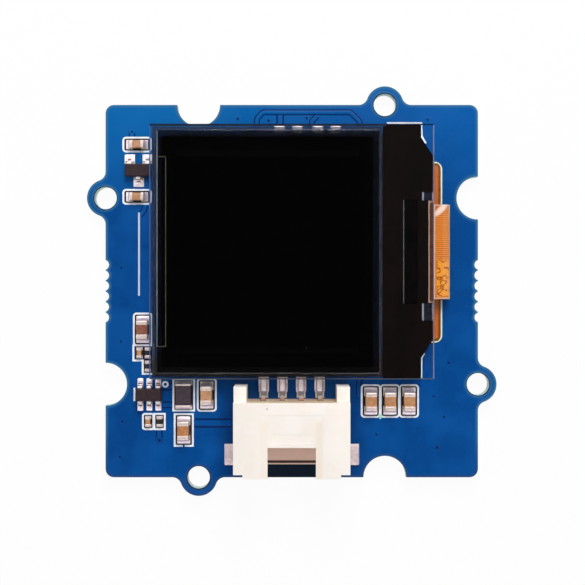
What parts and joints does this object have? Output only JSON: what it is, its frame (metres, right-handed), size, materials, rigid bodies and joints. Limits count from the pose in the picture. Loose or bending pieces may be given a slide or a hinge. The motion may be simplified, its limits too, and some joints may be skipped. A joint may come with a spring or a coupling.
{
  "type": "small oled module",
  "caption": "Small square display module: blue eared circuit board with a taped emissive glass panel, folded flex circuit, cable socket and surface-mounted chips.",
  "frame": {"origin": "middle of the circuit board's back face, which is the lowest face of the part", "axes": "+X to the right and +Y up the board as it is read, with the cable socket at the -Y edge; +Z out of the display"},
  "size_m": [0.044, 0.044, 0.0074],
  "materials": {
    "board_mask": "satin blue mask over a woven laminate",
    "print_ink": "matt white ink",
    "land_metal": "tinned and gold-flashed copper",
    "solder": "bright reflowed solder",
    "panel_glass": "clear polished glass",
    "polariser": "near-black smooth film",
    "emitter": "thin dark film",
    "desiccant": "matt pressed sheet",
    "seal_glue": "cured glue",
    "silicon": "polished silicon",
    "flex_film": "amber film over copper tracks",
    "black_tape": "matt black film",
    "foam": "closed-cell foam with glue on both faces",
    "housing_plastic": "moulded ivory plastic",
    "terminal_metal": "tin-plated strip",
    "tab_metal": "tin-plated strip",
    "mould_compound": "matt moulding compound",
    "lead_metal": "tin-plated leads",
    "end_metal": "tin-plated chip ends",
    "capacitor_ceramic": "satin brown ceramic",
    "resistor_film": "black glaze",
    "inductor_ferrite": "dark grey coated ferrite"
  },
  "bodies": {
    "root": {"circuit_board": "board_mask", "silkscreen_print": "print_ink", "solder_lands": "land_metal", "solder_fillets": "solder", "display_glass": "panel_glass", "polariser_film": "polariser", "emitting_layer": "emitter", "desiccant_sheet": "desiccant", "sealing_glass": "panel_glass", "edge_seal": "seal_glue", "driver_chip": "silicon", "flex_circuit": "flex_film", "shading_tape": "black_tape", "foam_tape": "foam", "connector_housing": "housing_plastic", "terminal_1": "terminal_metal", "terminal_2": "terminal_metal", "terminal_3": "terminal_metal", "terminal_4": "terminal_metal", "fixing_tab_left": "tab_metal", "fixing_tab_right": "tab_metal", "regulator_body": "mould_compound", "regulator_leads": "lead_metal", "converter_body": "mould_compound", "converter_leads": "lead_metal", "transistor_1_body": "mould_compound", "transistor_1_leads": "lead_metal", "transistor_2_body": "mould_compound", "transistor_2_leads": "lead_metal", "capacitor_1": "capacitor_ceramic", "capacitor_1_ends": "end_metal", "capacitor_2": "capacitor_ceramic", "capacitor_2_ends": "end_metal", "capacitor_3": "capacitor_ceramic", "capacitor_3_ends": "end_metal", "capacitor_4": "capacitor_ceramic", "capacitor_4_ends": "end_metal", "capacitor_5": "capacitor_ceramic", "capacitor_5_ends": "end_metal", "capacitor_6": "capacitor_ceramic", "capacitor_6_ends": "end_metal", "capacitor_7": "capacitor_ceramic", "capacitor_7_ends": "end_metal", "capacitor_8": "capacitor_ceramic", "capacitor_8_ends": "end_metal", "capacitor_9": "capacitor_ceramic", "capacitor_9_ends": "end_metal", "capacitor_10": "capacitor_ceramic", "capacitor_10_ends": "end_metal", "resistor_1": "resistor_film", "resistor_1_ends": "end_metal", "resistor_2": "resistor_film", "resistor_2_ends": "end_metal", "resistor_3": "resistor_film", "resistor_3_ends": "end_metal", "inductor": "inductor_ferrite", "inductor_ends": "end_metal"}
  },
  "joints": []
}
